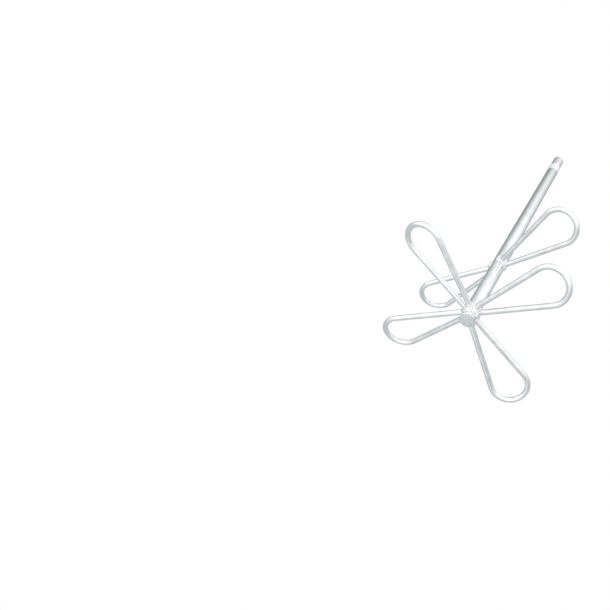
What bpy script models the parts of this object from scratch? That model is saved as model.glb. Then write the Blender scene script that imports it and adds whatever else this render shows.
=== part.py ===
"""Mortar mixing paddle: a tube with six pitched rod loops in two tiers, all welded up.

The shaft stands along +Z with the drive end up. The origin is the centre of the flat bottom
face of the end plug. Units are metres.
"""

import math

import bmesh
import bpy
from mathutils import Matrix, Vector

MM = 0.001
GAP = 0.3 * MM  # kept between pieces that touch

# Shaft: half-inch steel pipe
TUBE_RADIUS = 10.65 * MM
TUBE_WALL = 2.6 * MM
TUBE_TOP = 583.5 * MM
SHAFT_SEGMENTS = 40

# Plug that closes the bottom of the pipe, its disc a little wider than the pipe
PLUG_RADIUS = 11.4 * MM
PLUG_DISC = 4.0 * MM
PLUG_SPIGOT = 12.0 * MM
PLUG_CHAMFER = 0.7 * MM

# Turned drive coupling on top, with a blind socket for the machine's spindle
COUPLING_RADIUS = 10.35 * MM
COUPLING_SHOULDER = 610.0 * MM
COUPLING_TOP = 651.5 * MM
COUPLING_SPIGOT = 20.0 * MM
COUPLING_CHAMFER = 0.8 * MM
NECK_RADIUS = 8.6 * MM
SOCKET_RADIUS = 6.0 * MM
SOCKET_DEPTH = 30.0 * MM

# The two weld runs side by side on the coupling's neck
RING_WELDS = {
    "coupling_weld_lower": (583.8 * MM, 596.0 * MM, 11.0 * MM),
    "coupling_weld_upper": (598.0 * MM, 609.7 * MM, 10.8 * MM),
}

# One loop: a teardrop of round rod, drawn flat with its root on the shaft's axis
ROD_RADIUS = 4.0 * MM
ROD_SIDES = 10
TIP_CENTRE = 121.5 * MM  # from the shaft's axis to the centre of the tip's bend
TIP_RADIUS = 26.2 * MM  # of the rod's centreline
LEG_OFFSET = 4.5 * MM  # of each leg's centreline from the middle, at the tube's surface
ROOT_START = 9.5 * MM
COPE_RADIUS = 12.2 * MM  # the rod ends are cut to this round, and weld fills what is left
TIP_STEPS = 16
PITCH = math.radians(14.6)  # of the loop's plane about its own radius, like a propeller

# name: bearing round the shaft, height of the root, lift of the tip (degrees, mm, degrees)
LOOPS = {
    "loop_lower_1": (-0.5, 22.6, -1.3),
    "loop_lower_2": (91.2, 13.5, 0.4),
    "loop_lower_3": (182.9, 21.2, 1.0),
    "loop_lower_4": (266.1, 21.2, 0.5),
    "loop_upper_1": (-12.2, 162.9, -2.9),
    "loop_upper_2": (175.9, 156.9, 0.3),
}

# The weld beads above and below each loop's root
BEAD_RADIUS = 2.6 * MM
BEAD_RING = 11.6 * MM  # radius at which the bead's middle runs round the shaft
BEAD_HEIGHT = 4.9 * MM  # from the loop's plane
BEAD_SIDES = 8
BEAD_STEPS = 8
BEAD_HALF_ANGLE = {"lower": math.radians(34), "upper": math.radians(50)}

# Finishes: base colour, metallic, roughness
ZINC = ((0.72, 0.76, 0.75), 0.9, 0.32)
WELD = ((0.80, 0.81, 0.80), 0.8, 0.45)
TURNED = ((0.55, 0.56, 0.57), 1.0, 0.30)


def clear_scene():
    for obj in list(bpy.data.objects):
        bpy.data.objects.remove(obj, do_unlink=True)


def finish_material(name, finish):
    colour, metallic, roughness = finish
    material = bpy.data.materials.new(name + "_finish")
    material.use_nodes = True
    shader = material.node_tree.nodes["Principled BSDF"]
    shader.inputs["Base Color"].default_value = (*colour, 1.0)
    shader.inputs["Metallic"].default_value = metallic
    shader.inputs["Roughness"].default_value = roughness
    return material


def add_object(name, bm, finish=None):
    """Makes an object of the bmesh. With no finish it is a cutter, which isn't part of the paddle."""
    bmesh.ops.recalc_face_normals(bm, faces=bm.faces)
    mesh = bpy.data.meshes.new(name)
    bm.to_mesh(mesh)
    bm.free()
    mesh.shade_smooth()
    mesh.set_sharp_from_angle(angle=math.radians(35))
    obj = bpy.data.objects.new(name, mesh)
    bpy.context.scene.collection.objects.link(obj)
    if finish:
        mesh.materials.append(finish_material(name, finish))
    else:
        obj.hide_render = True
        obj.display_type = "WIRE"
    return obj


def add_cut(obj, cutter):
    cut = obj.modifiers.new(cutter.name, "BOOLEAN")
    cut.operation = "DIFFERENCE"
    cut.solver = "EXACT"
    cut.object = cutter


def turned(name, profile, finish, closed=False):
    """Turns a profile of (radius, height) points round the Z axis."""
    bm = bmesh.new()
    points = [bm.verts.new((radius, 0.0, height)) for radius, height in profile]
    edges = [bm.edges.new(pair) for pair in zip(points, points[1:])]
    if closed:
        edges.append(bm.edges.new((points[-1], points[0])))
    bmesh.ops.spin(
        bm, geom=points + edges, cent=(0, 0, 0), axis=(0, 0, 1),
        angle=2 * math.pi, steps=SHAFT_SEGMENTS, use_merge=True,
    )
    bmesh.ops.remove_doubles(bm, verts=bm.verts, dist=1e-7)
    return add_object(name, bm, finish)


def build_tube():
    outer, inner = TUBE_RADIUS, TUBE_RADIUS - TUBE_WALL
    bottom = PLUG_DISC + GAP
    turned(
        "shaft_tube",
        [
            (inner, bottom), (outer, bottom), (outer, TUBE_TOP - 1.0 * MM),
            (outer - 0.8 * MM, TUBE_TOP), (inner, TUBE_TOP),
        ],
        ZINC, closed=True,
    )


def build_plug():
    spigot = TUBE_RADIUS - TUBE_WALL - GAP
    turned(
        "end_plug",
        [
            (0.0, 0.0), (PLUG_RADIUS - PLUG_CHAMFER, 0.0), (PLUG_RADIUS, PLUG_CHAMFER),
            (PLUG_RADIUS, PLUG_DISC), (spigot, PLUG_DISC),
            (spigot, PLUG_DISC + PLUG_SPIGOT - 0.6 * MM),
            (spigot - 0.6 * MM, PLUG_DISC + PLUG_SPIGOT), (0.0, PLUG_DISC + PLUG_SPIGOT),
        ],
        TURNED,
    )


def build_coupling():
    spigot = TUBE_RADIUS - TUBE_WALL - GAP
    foot = TUBE_TOP - COUPLING_SPIGOT
    floor = COUPLING_TOP - SOCKET_DEPTH
    turned(
        "drive_coupling",
        [
            (0.0, foot), (spigot - 0.6 * MM, foot), (spigot, foot + 0.6 * MM),
            (spigot, TUBE_TOP), (NECK_RADIUS, TUBE_TOP + GAP),
            (NECK_RADIUS, COUPLING_SHOULDER), (COUPLING_RADIUS, COUPLING_SHOULDER),
            (COUPLING_RADIUS, COUPLING_TOP - COUPLING_CHAMFER),
            (COUPLING_RADIUS - COUPLING_CHAMFER, COUPLING_TOP),
            (SOCKET_RADIUS + COUPLING_CHAMFER, COUPLING_TOP),
            (SOCKET_RADIUS, COUPLING_TOP - COUPLING_CHAMFER),
            (SOCKET_RADIUS, floor), (0.0, floor - 3.0 * MM),
        ],
        TURNED,
    )


def build_ring_weld(name, low, high, crown, steps=6):
    """A rounded run of weld round the neck, its outline half an ellipse."""
    inner = NECK_RADIUS + GAP
    middle, half = (low + high) / 2, (high - low) / 2
    profile = []
    for step in range(steps + 1):
        angle = math.pi * step / steps
        bulge = inner + (crown - inner) * math.sin(angle) ** 0.5
        profile.append((bulge, middle - half * math.cos(angle)))
    turned(name, profile, WELD, closed=True)


def loop_outline():
    """Start of a leg, its end at the bend, and the leg's slope, in the loop's own plane."""
    root = Vector((TUBE_RADIUS, LEG_OFFSET))
    to_centre = Vector((TIP_CENTRE, 0.0)) - root
    slope = math.atan2(to_centre.y, to_centre.x) + math.asin(TIP_RADIUS / to_centre.length)
    along = Vector((math.cos(slope), math.sin(slope)))
    bend = Vector((TIP_CENTRE - TIP_RADIUS * along.y, TIP_RADIUS * along.x))
    start = root + along * ((ROOT_START - TUBE_RADIUS) / along.x)
    return start, bend, slope


def loop_matrix(name):
    bearing, height, lift = LOOPS[name]
    turn = Matrix.Rotation(math.radians(bearing), 4, "Z")
    raise_tip = Matrix.Rotation(math.radians(-lift), 4, "Y")
    pitch = Matrix.Rotation(-PITCH, 4, "X")
    return Matrix.Translation((0, 0, height * MM)) @ turn @ raise_tip @ pitch


def loop_mesh():
    """The rod as it is bent: out along one leg, round the tip, back along the other."""
    start, bend, slope = loop_outline()
    leg = (bend - start).length
    out = Vector((math.cos(slope), math.sin(slope), 0.0))
    back = Vector((-out.x, out.y, 0.0))
    facing = Matrix.Rotation(slope, 4, "Z") @ Matrix.Rotation(math.pi / 2, 4, "Y")
    bm = bmesh.new()
    bmesh.ops.create_circle(
        bm, cap_ends=True, radius=ROD_RADIUS, segments=ROD_SIDES,
        matrix=Matrix.Translation((start.x, start.y, 0.0)) @ facing,
    )
    end = bm.faces[:]
    for move in (out * leg, None, back * leg):
        if move is None:
            made = bmesh.ops.spin(
                bm, geom=end, cent=(TIP_CENTRE, 0, 0), axis=(0, 0, 1),
                angle=-(math.pi + 2 * slope), steps=TIP_STEPS,
            )["geom_last"]
        else:
            made = bmesh.ops.extrude_face_region(bm, geom=end)["geom"]
            verts = [item for item in made if isinstance(item, bmesh.types.BMVert)]
            bmesh.ops.translate(bm, verts=verts, vec=move)
        end = [item for item in made if isinstance(item, bmesh.types.BMFace)]
    walls = [face for face in bm.faces if all(len(edge.link_faces) > 2 for edge in face.edges)]
    bmesh.ops.delete(bm, geom=walls, context="FACES_ONLY")  # left inside at each stage's start
    return bm


def shaft_cutter(name, radius):
    bm = bmesh.new()
    bmesh.ops.create_cone(
        bm, cap_ends=True, segments=SHAFT_SEGMENTS, radius1=radius, radius2=radius,
        depth=300 * MM, matrix=Matrix.Translation((0, 0, 100 * MM)),
    )
    return add_object(name, bm)


def leg_cutters(name):
    """Each leg's own cylinder, a gap fatter than the rod, to shape the weld that lies on it."""
    start, bend, slope = loop_outline()
    cutters = []
    for side in (1, -1):
        bm = bmesh.new()
        facing = Matrix.Rotation(side * slope, 4, "Z") @ Matrix.Rotation(math.pi / 2, 4, "Y")
        middle = (start * 1.5 + bend * 0.5) / 2
        bmesh.ops.create_cone(
            bm, cap_ends=True, segments=16, radius1=ROD_RADIUS + GAP, radius2=ROD_RADIUS + GAP,
            depth=(bend - start).length * 0.7,
            matrix=Matrix.Translation((middle.x, side * middle.y, 0.0)) @ facing,
        )
        cutter = add_object(f"cutter_{name}_{side}", bm)
        cutter.matrix_world = loop_matrix(name)
        cutters.append(cutter)
    return cutters


def build_loop(name, cope, parent):
    rod = add_object(name, loop_mesh(), ZINC)
    rod.parent = parent
    rod.matrix_world = loop_matrix(name)
    add_cut(rod, cope)


def build_root_welds(name, tube_cutter, parent):
    """A bead above and a bead below the loop's root, bent round the shaft."""
    tier = name.split("_")[1]
    half = BEAD_HALF_ANGLE[tier]
    cutters = leg_cutters(name)
    for side, place in ((1, "top"), (-1, "bottom")):
        bm = bmesh.new()
        upright = Matrix.Rotation(-half, 4, "Z") @ Matrix.Rotation(math.pi / 2, 4, "X")
        centre = Vector((BEAD_RING * math.cos(half), -BEAD_RING * math.sin(half)))
        bmesh.ops.create_circle(
            bm, cap_ends=True, radius=BEAD_RADIUS, segments=BEAD_SIDES,
            matrix=Matrix.Translation((centre.x, centre.y, side * BEAD_HEIGHT)) @ upright,
        )
        bmesh.ops.spin(
            bm, geom=bm.faces[:], cent=(0, 0, 0), axis=(0, 0, 1),
            angle=2 * half, steps=BEAD_STEPS,
        )
        bead = add_object(name.replace("loop", "root_weld") + "_" + place, bm, WELD)
        bead.parent = parent
        bead.matrix_world = loop_matrix(name)
        for cutter in (tube_cutter, *cutters):
            add_cut(bead, cutter)


def main():
    clear_scene()
    parent = bpy.data.objects.new("paddle", None)
    bpy.context.scene.collection.objects.link(parent)
    build_tube()
    build_plug()
    build_coupling()
    for name, (low, high, crown) in RING_WELDS.items():
        build_ring_weld(name, low, high, crown)
    cope = shaft_cutter("cutter_cope", COPE_RADIUS)
    tube_cutter = shaft_cutter("cutter_tube", TUBE_RADIUS + GAP)
    for name in LOOPS:
        build_loop(name, cope, parent)
        build_root_welds(name, tube_cutter, parent)


main()
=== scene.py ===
import math

import bmesh
import bpy
from mathutils import Matrix, Vector, noise


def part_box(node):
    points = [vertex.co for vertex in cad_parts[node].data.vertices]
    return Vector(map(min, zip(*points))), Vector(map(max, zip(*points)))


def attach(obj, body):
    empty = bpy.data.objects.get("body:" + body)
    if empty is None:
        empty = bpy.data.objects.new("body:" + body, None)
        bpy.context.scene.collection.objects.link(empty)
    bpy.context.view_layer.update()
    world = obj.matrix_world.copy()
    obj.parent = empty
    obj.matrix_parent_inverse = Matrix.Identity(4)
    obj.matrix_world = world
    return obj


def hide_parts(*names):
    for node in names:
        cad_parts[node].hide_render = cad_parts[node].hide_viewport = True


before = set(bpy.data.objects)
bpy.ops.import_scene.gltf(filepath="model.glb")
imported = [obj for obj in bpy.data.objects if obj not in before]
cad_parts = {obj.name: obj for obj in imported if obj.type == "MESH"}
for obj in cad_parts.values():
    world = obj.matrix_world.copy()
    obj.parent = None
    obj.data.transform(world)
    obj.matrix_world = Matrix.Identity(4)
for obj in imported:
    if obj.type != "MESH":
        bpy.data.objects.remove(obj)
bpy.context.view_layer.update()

scene = bpy.context.scene
mm = 0.001
print("frame loaded,", len(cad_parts), "nodes")


# Shared shading groups

def newGroup(name, inputs, outputs):
    group = bpy.data.node_groups.new(name, "ShaderNodeTree")
    for label, kind, value in inputs:
        socket = group.interface.new_socket(label, in_out="INPUT", socket_type=kind)
        if value is not None:
            socket.default_value = value
    for label, kind in outputs:
        group.interface.new_socket(label, in_out="OUTPUT", socket_type=kind)
    return group, group.nodes.new("NodeGroupInput"), group.nodes.new("NodeGroupOutput")


def addNode(tree, kind, sockets=None, **settings):
    node = tree.nodes.new(kind)
    for name, value in settings.items():
        setattr(node, name, value)
    for name, value in (sockets or {}).items():
        node.inputs[name].default_value = value
    return node


def makeCloudGroup():
    group, start, end = newGroup(
        "softClouds",
        [("Vector", "NodeSocketVector", None), ("Scale", "NodeSocketFloat", 60.0),
         ("Low", "NodeSocketFloat", 0.35), ("High", "NodeSocketFloat", 0.65)],
        [("Mask", "NodeSocketFloat")],
    )
    cloud = addNode(group, "ShaderNodeTexNoise", {"Detail": 3.0, "Roughness": 0.55})
    spread = addNode(group, "ShaderNodeMapRange", interpolation_type="SMOOTHSTEP")
    group.links.new(start.outputs["Vector"], cloud.inputs["Vector"])
    group.links.new(start.outputs["Scale"], cloud.inputs["Scale"])
    group.links.new(cloud.outputs["Fac"], spread.inputs["Value"])
    group.links.new(start.outputs["Low"], spread.inputs["From Min"])
    group.links.new(start.outputs["High"], spread.inputs["From Max"])
    group.links.new(spread.outputs["Result"], end.inputs["Mask"])
    return group


def makeLineGroup():
    # fine lines that run along the axis whose stretch is small
    group, start, end = newGroup(
        "fineLines",
        [("Vector", "NodeSocketVector", None), ("Stretch", "NodeSocketVector", (1.0, 1.0, 0.02)),
         ("Scale", "NodeSocketFloat", 2500.0)],
        [("Height", "NodeSocketFloat")],
    )
    pull = addNode(group, "ShaderNodeVectorMath", operation="MULTIPLY")
    lines = addNode(group, "ShaderNodeTexNoise", {"Detail": 4.0, "Roughness": 0.6})
    group.links.new(start.outputs["Vector"], pull.inputs[0])
    group.links.new(start.outputs["Stretch"], pull.inputs[1])
    group.links.new(pull.outputs["Vector"], lines.inputs["Vector"])
    group.links.new(start.outputs["Scale"], lines.inputs["Scale"])
    group.links.new(lines.outputs["Fac"], end.inputs["Height"])
    return group


def makeSpangleGroup():
    # the faint crystal flowers that zinc freezes into
    group, start, end = newGroup(
        "zincSpangle",
        [("Vector", "NodeSocketVector", None), ("Scale", "NodeSocketFloat", 160.0)],
        [("Tone", "NodeSocketFloat"), ("Height", "NodeSocketFloat")],
    )
    warp = addNode(group, "ShaderNodeTexNoise", {"Scale": 240.0, "Detail": 2.0})
    bend = addNode(group, "ShaderNodeVectorMath", operation="MULTIPLY_ADD")
    bend.inputs[1].default_value = (0.004, 0.004, 0.004)
    cells = addNode(group, "ShaderNodeTexVoronoi", {"Randomness": 1.0})
    tone = addNode(group, "ShaderNodeSeparateColor")
    group.links.new(start.outputs["Vector"], warp.inputs["Vector"])
    group.links.new(warp.outputs["Color"], bend.inputs[0])
    group.links.new(start.outputs["Vector"], bend.inputs[2])
    group.links.new(bend.outputs["Vector"], cells.inputs["Vector"])
    group.links.new(start.outputs["Scale"], cells.inputs["Scale"])
    group.links.new(cells.outputs["Color"], tone.inputs["Color"])
    group.links.new(tone.outputs["Red"], end.inputs["Tone"])
    group.links.new(cells.outputs["Distance"], end.inputs["Height"])
    return group


softClouds = makeCloudGroup()
fineLines = makeLineGroup()
zincSpangle = makeSpangleGroup()


def placeGroup(tree, group, **values):
    node = addNode(tree, "ShaderNodeGroup", node_tree=group)
    for name, value in values.items():
        node.inputs[name.capitalize()].default_value = value
    return node


def newFinish(name):
    material = bpy.data.materials.new(name)
    material.use_nodes = True
    return material, material.node_tree, material.node_tree.nodes["Principled BSDF"]


def mixColours(tree, factor, first, second):
    mix = addNode(tree, "ShaderNodeMix", data_type="RGBA")
    mix.inputs[6].default_value = (*first, 1.0)
    mix.inputs[7].default_value = (*second, 1.0)
    tree.links.new(factor, mix.inputs[0])
    return mix.outputs[2]


def spreadTo(tree, value, low, high):
    spread = addNode(tree, "ShaderNodeMapRange", {"To Min": low, "To Max": high})
    tree.links.new(value, spread.inputs["Value"])
    return spread.outputs["Result"]


zinc = {
    "bright": {"tube": (0.86, 0.895, 0.885), "rod": (0.93, 0.94, 0.94)},
    "dull": {"tube": (0.77, 0.81, 0.80), "rod": (0.83, 0.845, 0.85)},
    "metal": 1.0,
    "speck": (0.52, 0.56, 0.56),
    "specks": 0.25,
    "spangle": 0.10,
    "smooth": 0.10,
    "rough": 0.18,
    "lineDepth": 0.012,
    "lineStrength": 0.35,
}


def makeZinc(name, stock, coordinates, stretch):
    # bright zinc plate over drawn steel: cloudy, faintly spangled, the drawing lines showing through
    material, tree, shader = newFinish(name)
    if coordinates == "Object":
        place = addNode(tree, "ShaderNodeTexCoord").outputs["Object"]
    else:
        place = addNode(tree, "ShaderNodeAttribute", attribute_name=coordinates).outputs["Vector"]
    clouds = placeGroup(tree, softClouds, scale=38.0, low=0.32, high=0.68)
    spots = placeGroup(tree, softClouds, scale=520.0, low=0.60, high=0.74)
    lines = placeGroup(tree, fineLines, stretch=stretch, scale=2600.0)
    spangle = placeGroup(tree, zincSpangle, scale=170.0)
    for node in (clouds, spots, lines, spangle):
        tree.links.new(place, node.inputs["Vector"])
    base = mixColours(tree, clouds.outputs["Mask"], zinc["dull"][stock], zinc["bright"][stock])
    faint = addNode(tree, "ShaderNodeMix", data_type="RGBA", blend_type="MULTIPLY")
    faint.inputs[0].default_value = zinc["spangle"]
    tree.links.new(base, faint.inputs[6])
    tree.links.new(spangle.outputs["Tone"], faint.inputs[7])
    specks = addNode(tree, "ShaderNodeMix", data_type="RGBA")
    specks.inputs[7].default_value = (*zinc["speck"], 1.0)
    speckAmount = spreadTo(tree, spots.outputs["Mask"], 0.0, zinc["specks"])
    tree.links.new(speckAmount, specks.inputs[0])
    tree.links.new(faint.outputs[2], specks.inputs[6])
    tree.links.new(specks.outputs[2], shader.inputs["Base Color"])
    roughness = addNode(tree, "ShaderNodeMath", operation="MULTIPLY_ADD")
    roughness.inputs[1].default_value = 0.06
    tree.links.new(spangle.outputs["Tone"], roughness.inputs[0])
    tree.links.new(spreadTo(tree, clouds.outputs["Mask"], zinc["rough"], zinc["smooth"]),
                   roughness.inputs[2])
    tree.links.new(roughness.outputs["Value"], shader.inputs["Roughness"])
    shader.inputs["Metallic"].default_value = zinc["metal"]
    bump = addNode(tree, "ShaderNodeBump",
                   {"Strength": zinc["lineStrength"], "Distance": zinc["lineDepth"] * mm})
    tree.links.new(lines.outputs["Height"], bump.inputs["Height"])
    tree.links.new(bump.outputs["Normal"], shader.inputs["Normal"])
    return material


weldMetal = {
    "crown": (1.0, 1.0, 1.0),
    # painted shade: the grey laid into the ripple valleys and the groove between the neck runs
    "paintedValleyShade": (0.58, 0.59, 0.59),
    "slag": (0.55, 0.54, 0.52),
    "flecks": 0.22,
    "metal": 0.60,
    "rough": 0.42,
    "smooth": 0.28,
    "grain": 0.03,
    "grainStrength": 0.5,
}


def makeWeldFinish():
    # plated weld: bright on the crowns, painted shade grey down in the ripple valleys and the groove
    # between runs, a few flecks of slag
    material, tree, shader = newFinish("platedWeld")
    place = addNode(tree, "ShaderNodeTexCoord").outputs["Object"]
    paintedWeldShade = addNode(tree, "ShaderNodeAttribute", attribute_name="paintedWeldShade").outputs["Fac"]
    flecks = placeGroup(tree, softClouds, scale=900.0, low=0.63, high=0.72)
    clouds = placeGroup(tree, softClouds, scale=260.0, low=0.30, high=0.70)
    grain = placeGroup(tree, fineLines, stretch=(1.0, 1.0, 1.0), scale=1800.0)
    for node in (flecks, clouds, grain):
        tree.links.new(place, node.inputs["Vector"])
    # painted shade: the attribute darkens the ripple valleys and the groove towards the grey
    base = mixColours(tree, paintedWeldShade, weldMetal["paintedValleyShade"], weldMetal["crown"])
    slag = addNode(tree, "ShaderNodeMix", data_type="RGBA")
    slag.inputs[7].default_value = (*weldMetal["slag"], 1.0)
    slagAmount = spreadTo(tree, flecks.outputs["Mask"], 0.0, weldMetal["flecks"])
    tree.links.new(slagAmount, slag.inputs[0])
    tree.links.new(base, slag.inputs[6])
    tree.links.new(slag.outputs[2], shader.inputs["Base Color"])
    tree.links.new(spreadTo(tree, clouds.outputs["Mask"], weldMetal["rough"], weldMetal["smooth"]),
                   shader.inputs["Roughness"])
    shader.inputs["Metallic"].default_value = weldMetal["metal"]
    bump = addNode(tree, "ShaderNodeBump",
                   {"Strength": weldMetal["grainStrength"], "Distance": weldMetal["grain"] * mm})
    tree.links.new(grain.outputs["Height"], bump.inputs["Height"])
    tree.links.new(bump.outputs["Normal"], shader.inputs["Normal"])
    return material


turnedSteel = {
    "light": (0.83, 0.83, 0.82),
    "dark": (0.66, 0.66, 0.655),
    "smooth": 0.22,
    "rough": 0.36,
    "ridges": 9000.0,
    "ridgeDepth": 0.03,
    "ridgeStrength": 0.4,
}


def makeTurnedFinish():
    # bare turned steel: close tool ridges round the axis, a little tarnish in patches
    material, tree, shader = newFinish("turnedSteelFinish")
    place = addNode(tree, "ShaderNodeTexCoord").outputs["Object"]
    ridges = placeGroup(tree, fineLines, stretch=(0.01, 0.01, 1.0), scale=turnedSteel["ridges"])
    tarnish = placeGroup(tree, softClouds, scale=110.0, low=0.38, high=0.66)
    for node in (ridges, tarnish):
        tree.links.new(place, node.inputs["Vector"])
    base = mixColours(tree, tarnish.outputs["Mask"], turnedSteel["light"], turnedSteel["dark"])
    tree.links.new(base, shader.inputs["Base Color"])
    tree.links.new(spreadTo(tree, tarnish.outputs["Mask"], turnedSteel["smooth"], turnedSteel["rough"]),
                   shader.inputs["Roughness"])
    shader.inputs["Metallic"].default_value = 1.0
    bump = addNode(tree, "ShaderNodeBump",
                   {"Strength": turnedSteel["ridgeStrength"], "Distance": turnedSteel["ridgeDepth"] * mm})
    tree.links.new(ridges.outputs["Height"], bump.inputs["Height"])
    tree.links.new(bump.outputs["Normal"], shader.inputs["Normal"])
    return material


groundSteel = {
    "light": (0.90, 0.925, 0.945),
    "dark": (0.79, 0.815, 0.835),
    "metal": 0.9,
    "rough": 0.46,
    "smooth": 0.34,
    "scratchAngle": 38.0,
    "scratchDepth": 0.06,
    "scratchStrength": 0.5,
    "crossing": 0.4,  # how deep the crossing scratches are beside the others
}


def makeGroundFinish():
    # the end as it leaves the grinder: straight scratches one way, a few crossing them
    material, tree, shader = newFinish("groundEndFinish")
    place = addNode(tree, "ShaderNodeTexCoord").outputs["Object"]
    turn = addNode(tree, "ShaderNodeMapping")
    turn.inputs["Rotation"].default_value = (0.0, 0.0, math.radians(groundSteel["scratchAngle"]))
    scratches = placeGroup(tree, fineLines, stretch=(1.0, 0.03, 1.0), scale=3200.0)
    crossing = placeGroup(tree, fineLines, stretch=(0.05, 1.0, 1.0), scale=1400.0)
    blotches = placeGroup(tree, softClouds, scale=210.0, low=0.35, high=0.65)
    tree.links.new(place, turn.inputs["Vector"])
    for node in (scratches, crossing, blotches):
        tree.links.new(turn.outputs["Vector"], node.inputs["Vector"])
    both = addNode(tree, "ShaderNodeMath", operation="MULTIPLY_ADD")
    both.inputs[1].default_value = groundSteel["crossing"]
    tree.links.new(crossing.outputs["Height"], both.inputs[0])
    tree.links.new(scratches.outputs["Height"], both.inputs[2])
    base = mixColours(tree, blotches.outputs["Mask"], groundSteel["dark"], groundSteel["light"])
    tree.links.new(base, shader.inputs["Base Color"])
    tree.links.new(spreadTo(tree, blotches.outputs["Mask"], groundSteel["rough"], groundSteel["smooth"]),
                   shader.inputs["Roughness"])
    shader.inputs["Metallic"].default_value = groundSteel["metal"]
    bump = addNode(tree, "ShaderNodeBump",
                   {"Strength": groundSteel["scratchStrength"],
                    "Distance": groundSteel["scratchDepth"] * mm})
    tree.links.new(both.outputs["Value"], bump.inputs["Height"])
    tree.links.new(bump.outputs["Normal"], shader.inputs["Normal"])
    return material


zincOnTube = makeZinc("zincOnTube", "tube", "Object", (1.0, 1.0, 0.015))
zincOnRod = makeZinc("zincOnRod", "rod", "rodSpace", (0.015, 1.0, 1.0))
platedWeld = makeWeldFinish()
turnedFinish = makeTurnedFinish()
groundFinish = makeGroundFinish()
print("finishes made")


# Modelling helpers

def finishPiece(name, bm, material, nodes, sharp=32):
    bmesh.ops.recalc_face_normals(bm, faces=bm.faces)
    mesh = bpy.data.meshes.new(name)
    bm.to_mesh(mesh)
    bm.free()
    mesh.shade_smooth()
    mesh.set_sharp_from_angle(angle=math.radians(sharp))
    mesh.materials.append(material)
    piece = bpy.data.objects.new(name, mesh)
    scene.collection.objects.link(piece)
    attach(piece, "root")
    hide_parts(*nodes)
    return piece


def turnProfile(points, sides, closed=False):
    # radius and height in millimetres, turned once round the shaft
    bm = bmesh.new()
    verts = [bm.verts.new((radius * mm, 0.0, height * mm)) for radius, height in points]
    edges = [bm.edges.new(pair) for pair in zip(verts, verts[1:])]
    if closed:
        edges.append(bm.edges.new((verts[-1], verts[0])))
    bmesh.ops.spin(bm, geom=verts + edges, cent=(0, 0, 0), axis=(0, 0, 1),
                   angle=math.tau, steps=sides, use_merge=True)
    bmesh.ops.remove_doubles(bm, verts=bm.verts, dist=1e-7)
    bmesh.ops.recalc_face_normals(bm, faces=bm.faces)
    return bm


def bevelRims(bm, width, segments=3, angle=35):
    # rounds every turned corner sharper than the angle
    rims = [edge for edge in bm.edges
            if len(edge.link_faces) == 2 and edge.calc_face_angle() > math.radians(angle)]
    bmesh.ops.bevel(bm, geom=rims, offset=width * mm, offset_type="OFFSET", segments=segments,
                    profile=0.5, affect="EDGES", material=-1, clamp_overlap=True)


# Shaft, plug and coupling

shaft = {"radius": 10.65, "bore": 8.05, "sides": 96, "endTaper": (0.8, 1.0)}


def buildShaft():
    low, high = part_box("shaft_tube")
    bottom, top = low.z / mm, high.z / mm
    taperIn, taperDown = shaft["endTaper"]
    bm = turnProfile(
        [(shaft["bore"], bottom), (shaft["radius"], bottom), (shaft["radius"], top - taperDown),
         (shaft["radius"] - taperIn, top), (shaft["bore"], top)],
        shaft["sides"], closed=True)
    bevelRims(bm, 0.25)
    finishPiece("tubeShaft", bm, zincOnTube, ["shaft_tube"])


plug = {"radius": 11.4, "chamfer": 0.7, "disc": 4.0, "sides": 96}


def buildPlug():
    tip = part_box("end_plug")[1].z / mm
    spigot = shaft["bore"] - 0.1
    bm = turnProfile(
        [(0.0, 0.0), (plug["radius"] - plug["chamfer"], 0.0), (plug["radius"], plug["chamfer"]),
         (plug["radius"], plug["disc"]), (spigot, plug["disc"]),
         (spigot, tip - 0.6), (spigot - 0.6, tip), (0.0, tip)],
        plug["sides"])
    bevelRims(bm, 0.25)
    piece = finishPiece("endPlug", bm, groundFinish, ["end_plug"])
    piece.data.materials.append(zincOnTube)
    for face in piece.data.polygons:  # only the flat end is ground, the rim keeps its plate
        if face.normal.z > -0.98 or face.center.z > 0.2 * mm:
            face.material_index = 1


coupling = {
    "radius": 10.35,
    "neck": 8.6,
    "shoulder": 610.0,
    "chamfer": 1.3,
    "mouth": 0.8,  # chamfer round the socket
    "socket": 6.0,
    "socketDepth": 30.0,
    "drillPoint": 3.0,
    "threadDepth": 0.55,
    "threadPitch": 1.5,
    "threadStart": 3.0,
    "sides": 96,
}


def buildCoupling():
    low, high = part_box("drive_coupling")
    foot, top = low.z / mm, high.z / mm
    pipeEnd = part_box("shaft_tube")[1].z / mm
    spigot = shaft["bore"] - 0.3
    floor = top - coupling["socketDepth"]
    inside = []
    height = top - coupling["threadStart"]
    while height > floor + 2.0:  # the cut thread, as rings
        inside += [(coupling["socket"], height),
                   (coupling["socket"] + coupling["threadDepth"], height - coupling["threadPitch"] / 2)]
        height -= coupling["threadPitch"]
    bm = turnProfile(
        [(0.0, foot), (spigot - 0.6, foot), (spigot, foot + 0.6), (spigot, pipeEnd),
         (coupling["neck"], pipeEnd), (coupling["neck"], coupling["shoulder"]),
         (coupling["radius"] - 0.5, coupling["shoulder"]),
         (coupling["radius"], coupling["shoulder"] + 0.5),
         (coupling["radius"], top - coupling["chamfer"]),
         (coupling["radius"] - coupling["chamfer"], top),
         (coupling["socket"] + coupling["mouth"], top),
         (coupling["socket"], top - coupling["mouth"])]
        + inside + [(coupling["socket"], floor), (0.0, floor - coupling["drillPoint"])],
        coupling["sides"])
    finishPiece("driveCoupling", bm, turnedFinish, ["drive_coupling"], sharp=25)


# Weld runs

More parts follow.
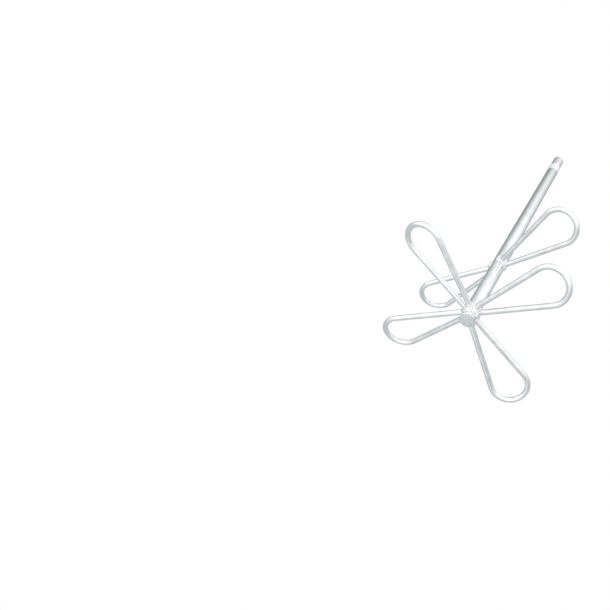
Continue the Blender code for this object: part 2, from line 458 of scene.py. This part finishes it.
ringWelds = {  # the runs lean together, so the groove between them closes at one bearing
    "neckWeldLower": {"node": "coupling_weld_lower", "crown": 11.4, "seed": 3.1, "lean": 1},
    "neckWeldUpper": {"node": "coupling_weld_upper", "crown": 11.2, "seed": 8.7, "lean": -1},
}
ringLean = {"amount": 0.9, "closedAt": 50.0}
ringGrid = {"round": 240, "across": 14}
ripple = {"spacing": 1.5, "depth": 0.03, "crescent": 0.9, "lumps": 0.10}


def rippleAt(along, across):
    # a stack of overlapping coins: each rises slowly and drops off at its edge
    phase = (along / ripple["spacing"] + ripple["crescent"] * (1.0 - math.cos(across))) % 1.0
    return phase ** 0.6 * (1.0 - max(0.0, phase - 0.86) / 0.14)


def buildRingWeld(name, setting):
    low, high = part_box(setting["node"])
    middle, half = (low.z + high.z) / 2 / mm, (high.z - low.z) / 2 / mm
    inner = coupling["neck"] - 0.15
    profile = []
    for step in range(ringGrid["across"] + 1):
        angle = math.pi * step / ringGrid["across"]
        profile.append((inner + (setting["crown"] - inner) * math.sin(angle) ** 0.55,
                        middle - half * math.cos(angle)))
    bm = turnProfile(profile, ringGrid["round"], closed=True)
    paintedWeldShade = bm.verts.layers.float.new("paintedWeldShade")
    for vert in bm.verts:
        radius = math.hypot(vert.co.x, vert.co.y) / mm
        if radius < inner + 0.05:
            continue
        bearing = math.atan2(vert.co.y, vert.co.x)
        across = (vert.co.z / mm - middle) / half * math.pi / 2
        height = rippleAt(bearing * 10.5 + 40.0, across)
        lump = noise.noise(vert.co * 260 + Vector((setting["seed"],) * 3))
        share = (radius - inner) / (setting["crown"] - inner)
        vert[paintedWeldShade] = (0.85 + 0.15 * height) * min(1.0, share * 1.6)  # painted shade: darker in the ripple valleys and down in the groove between the runs
        grow = share * (ripple["depth"] * 6 * (height - 0.6) + lump * 0.35)
        factor = (radius + grow) / radius
        vert.co.x *= factor
        vert.co.y *= factor
        sway = noise.noise(Vector((math.cos(bearing), math.sin(bearing), setting["seed"])) * 1.7)
        vert.co.z += share * sway * 0.5 * mm
        towards = math.cos(bearing - math.radians(ringLean["closedAt"]))
        edge = max(0.0, setting["lean"] * math.sin(across))  # only the side that faces the other run
        vert.co.z += setting["lean"] * edge * ringLean["amount"] * towards * share * mm
    finishPiece(name, bm, platedWeld, [setting["node"]], sharp=60)


# Loops of round rod

loops = {  # bearing round the shaft, height of the root in mm, lift of the tip
    "Lower1": {"node": "loop_lower_1", "bearing": -0.5, "height": 22.6, "lift": -1.3},
    "Lower2": {"node": "loop_lower_2", "bearing": 91.2, "height": 13.5, "lift": 0.4},
    "Lower3": {"node": "loop_lower_3", "bearing": 182.9, "height": 21.2, "lift": 1.0},
    "Lower4": {"node": "loop_lower_4", "bearing": 266.1, "height": 21.2, "lift": 0.5},
    "Upper1": {"node": "loop_upper_1", "bearing": -12.2, "height": 162.9, "lift": -2.9},
    "Upper2": {"node": "loop_upper_2", "bearing": 175.9, "height": 156.9, "lift": 0.3},
}
rod = {
    "radius": 4.0,
    "sides": 28,
    "tipCentre": 121.5,
    "tipRadius": 26.2,
    "tipSteps": 44,
    "legOffset": 4.5,
    "sink": 10.2,  # the ends are coped to this radius, just inside the tube's skin
    "pitch": 14.6,
}


def loopPlace(setting):
    return (Matrix.Translation((0, 0, setting["height"] * mm))
            @ Matrix.Rotation(math.radians(setting["bearing"]), 4, "Z")
            @ Matrix.Rotation(math.radians(-setting["lift"]), 4, "Y")
            @ Matrix.Rotation(math.radians(-rod["pitch"]), 4, "X"))


def legLine():
    # a leg leaves the tube beside the middle line and runs on to touch the tip's bend
    root = Vector((shaft["radius"], rod["legOffset"])) * mm
    toCentre = Vector((rod["tipCentre"] * mm, 0.0)) - root
    slope = (math.atan2(toCentre.y, toCentre.x)
             + math.asin(rod["tipRadius"] * mm / toCentre.length))
    along = Vector((math.cos(slope), math.sin(slope)))
    bend = Vector((rod["tipCentre"] * mm - rod["tipRadius"] * mm * along.y,
                   rod["tipRadius"] * mm * along.x))
    start = root - along * (1.5 * mm / along.x)
    return start, bend, along, slope


def copeEnds(bm, place, start, along):
    # slides each point of the two cut ends along its own leg until it meets the tube
    for vert in bm.verts:
        if (vert.co.to_2d() - Vector((start.x, math.copysign(start.y, vert.co.y)))).length > 5 * mm:
            continue
        legWay = place.to_3x3() @ Vector((along.x, math.copysign(along.y, vert.co.y), 0.0))
        point = place @ vert.co
        a = legWay.x ** 2 + legWay.y ** 2
        b = point.x * legWay.x + point.y * legWay.y
        c = point.x ** 2 + point.y ** 2 - (rod["sink"] * mm) ** 2
        shift = (-b + math.sqrt(max(b * b - a * c, 0.0))) / a
        vert.co = vert.co + Vector((along.x, math.copysign(along.y, vert.co.y), 0.0)) * shift


def markRodSpace(bm, start, bend, along, slope):
    # where each point would lie on the rod before it was bent
    layer = bm.verts.layers.float_vector.new("rodSpace")
    leg = (bend - start).length
    sweep = rod["tipRadius"] * mm * (math.pi / 2 + slope)
    centre = Vector((rod["tipCentre"] * mm, 0.0))
    for vert in bm.verts:
        flat, side = vert.co.to_2d(), math.copysign(1.0, vert.co.y)
        reach = (Vector((flat.x, abs(flat.y))) - start).dot(along)
        if reach < leg:
            line = start + along * reach
            distance, across = leg - reach + sweep, (Vector((flat.x, abs(flat.y))) - line).dot(
                Vector((-along.y, along.x)))
        else:
            arm = flat - centre
            distance = abs(math.atan2(arm.y, arm.x)) * rod["tipRadius"] * mm
            across = arm.length - rod["tipRadius"] * mm
        vert[layer] = (side * distance, across, vert.co.z)


def buildLoop(name, setting):
    place = loopPlace(setting)
    start, bend, along, slope = legLine()
    bm = bmesh.new()
    facing = Matrix.Rotation(slope, 4, "Z") @ Matrix.Rotation(math.pi / 2, 4, "Y")
    bmesh.ops.create_circle(bm, cap_ends=True, radius=rod["radius"] * mm, segments=rod["sides"],
                            matrix=Matrix.Translation((start.x, start.y, 0.0)) @ facing)
    end = bm.faces[:]
    leg = (bend - start).length
    for stage in ("out", "round", "back"):
        if stage == "round":
            made = bmesh.ops.spin(bm, geom=end, cent=(rod["tipCentre"] * mm, 0, 0), axis=(0, 0, 1),
                                  angle=-(math.pi + 2 * slope), steps=rod["tipSteps"])["geom_last"]
        else:
            made = bmesh.ops.extrude_face_region(bm, geom=end)["geom"]
            verts = [item for item in made if isinstance(item, bmesh.types.BMVert)]
            way = Vector((along.x if stage == "out" else -along.x, along.y, 0.0))
            bmesh.ops.translate(bm, verts=verts, vec=way * leg)
        end = [item for item in made if isinstance(item, bmesh.types.BMFace)]
    inner = [face for face in bm.faces if all(len(edge.link_faces) > 2 for edge in face.edges)]
    bmesh.ops.delete(bm, geom=inner, context="FACES_ONLY")
    bmesh.ops.remove_doubles(bm, verts=bm.verts, dist=1e-7)
    copeEnds(bm, place, start, along)
    legEdges = [edge for edge in bm.edges if edge.calc_length() > 50 * mm]
    bmesh.ops.subdivide_edges(bm, edges=legEdges, cuts=7, use_grid_fill=True)
    markRodSpace(bm, start, bend, along, slope)
    bmesh.ops.transform(bm, matrix=place, verts=bm.verts)
    finishPiece("rodLoop" + name, bm, zincOnRod, [setting["node"]], sharp=50)


rootWeld = {
    "ring": 10.6,
    "thick": 3.4,  # half the bead's thickness, out from the shaft
    "droop": 1.2,  # how far the ends fall towards the loop's plane
    "steps": 100,
    "sides": 20,
    "floor": 2.6,  # no bead runs below this height
    # half angle, then the bead's offset from the loop's plane and half its height
    "Lower": {"half": 60.0, "Top": (4.2, 5.0), "Bottom": (6.6, 7.6)},
    "Upper": {"half": 74.0, "Top": (6.2, 6.2), "Bottom": (0.9, 5.6)},
}


def buildRootWeld(name, setting, side):
    tier, ending = name[:-1], "Top" if side > 0 else "Bottom"
    half = math.radians(rootWeld[tier]["half"])
    offset, tall = rootWeld[tier][ending]
    stretch = tall / rootWeld["thick"]
    bm = bmesh.new()
    first = (Matrix.Rotation(-half, 4, "Z") @ Matrix.Translation((rootWeld["ring"] * mm, 0, 0))
             @ Matrix.Rotation(math.pi / 2, 4, "X"))
    bmesh.ops.create_circle(bm, cap_ends=True, radius=rootWeld["thick"] * mm,
                            segments=rootWeld["sides"], matrix=first)
    bmesh.ops.spin(bm, geom=bm.faces[:], cent=(0, 0, 0), axis=(0, 0, 1), angle=2 * half,
                   steps=rootWeld["steps"])
    inner = [face for face in bm.faces if all(len(edge.link_faces) > 2 for edge in face.edges)]
    bmesh.ops.delete(bm, geom=inner, context="FACES_ONLY")
    seed = Vector((setting["height"], setting["bearing"], side * 5.0)) * 0.37
    slant = math.tan(math.radians(rod["pitch"]))
    lift = math.tan(math.radians(setting["lift"]))
    paintedWeldShade = bm.verts.layers.float.new("paintedWeldShade")
    for vert in bm.verts:
        angle = math.atan2(vert.co.y, vert.co.x)
        share = min(1.0, abs(angle) / half)
        outward = math.hypot(vert.co.x, vert.co.y) - rootWeld["ring"] * mm
        upward = vert.co.z
        across = math.atan2(upward, outward)
        taper = math.sqrt(max(0.0, 1.0 - (max(0.0, share - 0.72) / 0.28) ** 2))
        height = rippleAt(angle * rootWeld["ring"] + 40.0, across - side * 0.7)
        # painted shade: darker in the ripple valleys, lighter on the crests
        vert[paintedWeldShade] = 0.85 + 0.15 * height
        spot = Vector((math.cos(angle) * 2.2, math.sin(angle) * 2.2, across * 0.5))
        lump = noise.noise(spot * 1.4 + seed)
        size = taper * (1.0 + ripple["depth"] * (height - 0.5) * 2 + ripple["lumps"] * lump * 2)
        wander = 0.5 * mm * noise.noise(Vector((angle * 2.4, 0.0, 0.0)) + seed)
        ring = rootWeld["ring"] * mm + 0.5 * wander - 0.5 * mm * share ** 3
        bearing = math.radians(setting["bearing"]) + angle
        plane = (setting["height"] * mm - slant * ring * math.sin(angle)
                 + lift * ring * math.cos(angle))
        middle = plane + side * (offset - rootWeld["droop"] * share ** 2.5) * mm + wander
        reach = ring + outward * size
        rise = middle + upward * stretch * size
        spare = rise - (rootWeld["floor"] + 2.0) * mm
        if spare < 0:  # eases off above the end face
            rise = rootWeld["floor"] * mm + 2.0 * mm * math.exp(spare / (2.0 * mm))
        vert.co = Vector((reach * math.cos(bearing), reach * math.sin(bearing), rise))
    bmesh.ops.remove_doubles(bm, verts=bm.verts, dist=0.02 * mm)
    node = setting["node"].replace("loop", "root_weld") + "_" + ending.lower()
    finishPiece("rootWeld" + name + ending, bm, platedWeld, [node], sharp=60)


buildShaft()
buildPlug()
buildCoupling()
print("shaft, plug and coupling built")
for name, setting in ringWelds.items():
    buildRingWeld(name, setting)
for name, setting in loops.items():
    buildLoop(name, setting)
    buildRootWeld(name, setting, 1)
    buildRootWeld(name, setting, -1)
print("loops and welds built")


# Studio

studio = {
    "lens": 39.16,
    "place": (0.44984, -0.32281, -0.73031),
    "turn": (149.103, -23.109, 33.469),
    "shift": (-0.1393, -0.0459),
    "farClip": 100.0,
}
studioFloor = {
    "height": -1.25,
    "radius": 40.0,
    "colour": (0.96, 0.96, 0.955),
    "glow": 0.14,  # white light of its own, so the floor stays pale
    "roughness": 0.8,
}

room = {  # what the metal reflects: a pale room with soft bright and dark areas
    "level": 0.63,
    "tint": (0.945, 1.015, 1.025),
    "white": 1.05,  # as bright as this, the tint is gone
    "lobes": [  # bearing and rise of the middle, radius of the full part, radius where it ends, amount
        (-53.0, -7.0, 59.0, 99.0, 0.60),
        (-104.0, 52.0, 7.0, 42.0, -0.36),
        (-140.0, -72.0, 28.0, 58.0, 0.27),
        (12.0, 52.0, 3.0, 44.0, 0.31),
        (150.0, 57.0, 22.0, 44.0, -0.20),
    ],
}


def buildCamera():
    data = bpy.data.cameras.new("camera")
    data.sensor_width = 36.0
    data.lens = studio["lens"]
    data.shift_x, data.shift_y = studio["shift"]
    data.clip_start, data.clip_end = 0.01, studio["farClip"]
    camera = bpy.data.objects.new("camera", data)
    camera.location = studio["place"]
    camera.rotation_euler = [math.radians(angle) for angle in studio["turn"]]
    scene.collection.objects.link(camera)
    scene.camera = camera


def buildFloor():
    bm = bmesh.new()
    bmesh.ops.create_circle(bm, cap_ends=True, radius=studioFloor["radius"], segments=96,
                            matrix=Matrix.Translation((0, 0, studioFloor["height"])))
    mesh = bpy.data.meshes.new("floor")
    bm.to_mesh(mesh)
    bm.free()
    material, tree, shader = newFinish("paleFloor")
    shader.inputs["Base Color"].default_value = (*studioFloor["colour"], 1.0)
    shader.inputs["Emission Color"].default_value = (1.0, 1.0, 1.0, 1.0)
    shader.inputs["Emission Strength"].default_value = studioFloor["glow"]
    shader.inputs["Roughness"].default_value = studioFloor["roughness"]
    mesh.materials.append(material)
    floor = bpy.data.objects.new("floor", mesh)
    scene.collection.objects.link(floor)
    floor.visible_glossy = floor.visible_diffuse = False  # the metal reflects the room instead


def buildWorld():
    world = bpy.data.worlds.new("studio")
    world.use_nodes = True
    tree = world.node_tree
    tree.nodes.clear()
    way = addNode(tree, "ShaderNodeTexCoord").outputs["Generated"]
    level = None
    for bearing, rise, full, gone, amount in room["lobes"]:
        middle = Matrix.Rotation(math.radians(bearing), 3, "Z") @ (
            Matrix.Rotation(math.radians(-rise), 3, "Y") @ Vector((1.0, 0.0, 0.0)))
        facing = addNode(tree, "ShaderNodeVectorMath", operation="DOT_PRODUCT")
        facing.inputs[1].default_value = middle
        tree.links.new(way, facing.inputs[0])
        angle = addNode(tree, "ShaderNodeMath", operation="ARCCOSINE")
        tree.links.new(facing.outputs["Value"], angle.inputs[0])
        soft = addNode(tree, "ShaderNodeMapRange", {"From Min": math.radians(gone),
                       "From Max": math.radians(full), "To Max": amount},
                       interpolation_type="SMOOTHSTEP")
        tree.links.new(angle.outputs["Value"], soft.inputs["Value"])
        both = addNode(tree, "ShaderNodeMath", operation="ADD")
        both.inputs[0].default_value = room["level"]
        if level:
            tree.links.new(level, both.inputs[0])
        tree.links.new(soft.outputs["Result"], both.inputs[1])
        level = both.outputs["Value"]
    walls = addNode(tree, "ShaderNodeBackground")
    tree.links.new(level, walls.inputs["Strength"])
    whiter = addNode(tree, "ShaderNodeMapRange", {"From Min": room["level"], "From Max": room["white"]})
    tree.links.new(level, whiter.inputs["Value"])
    tree.links.new(mixColours(tree, whiter.outputs["Result"], room["tint"], (1.0, 1.0, 1.0)),
                   walls.inputs["Color"])
    paper = addNode(tree, "ShaderNodeBackground", {"Color": (1.0, 1.0, 1.0, 1.0), "Strength": 1.0})
    seen = addNode(tree, "ShaderNodeLightPath").outputs["Is Camera Ray"]
    choose = addNode(tree, "ShaderNodeMixShader")
    out = addNode(tree, "ShaderNodeOutputWorld")
    tree.links.new(seen, choose.inputs[0])
    tree.links.new(walls.outputs[0], choose.inputs[1])
    tree.links.new(paper.outputs[0], choose.inputs[2])
    tree.links.new(choose.outputs[0], out.inputs["Surface"])
    scene.world = world


buildCamera()
buildFloor()
buildWorld()
scene.view_settings.view_transform = "Standard"
print("studio built")
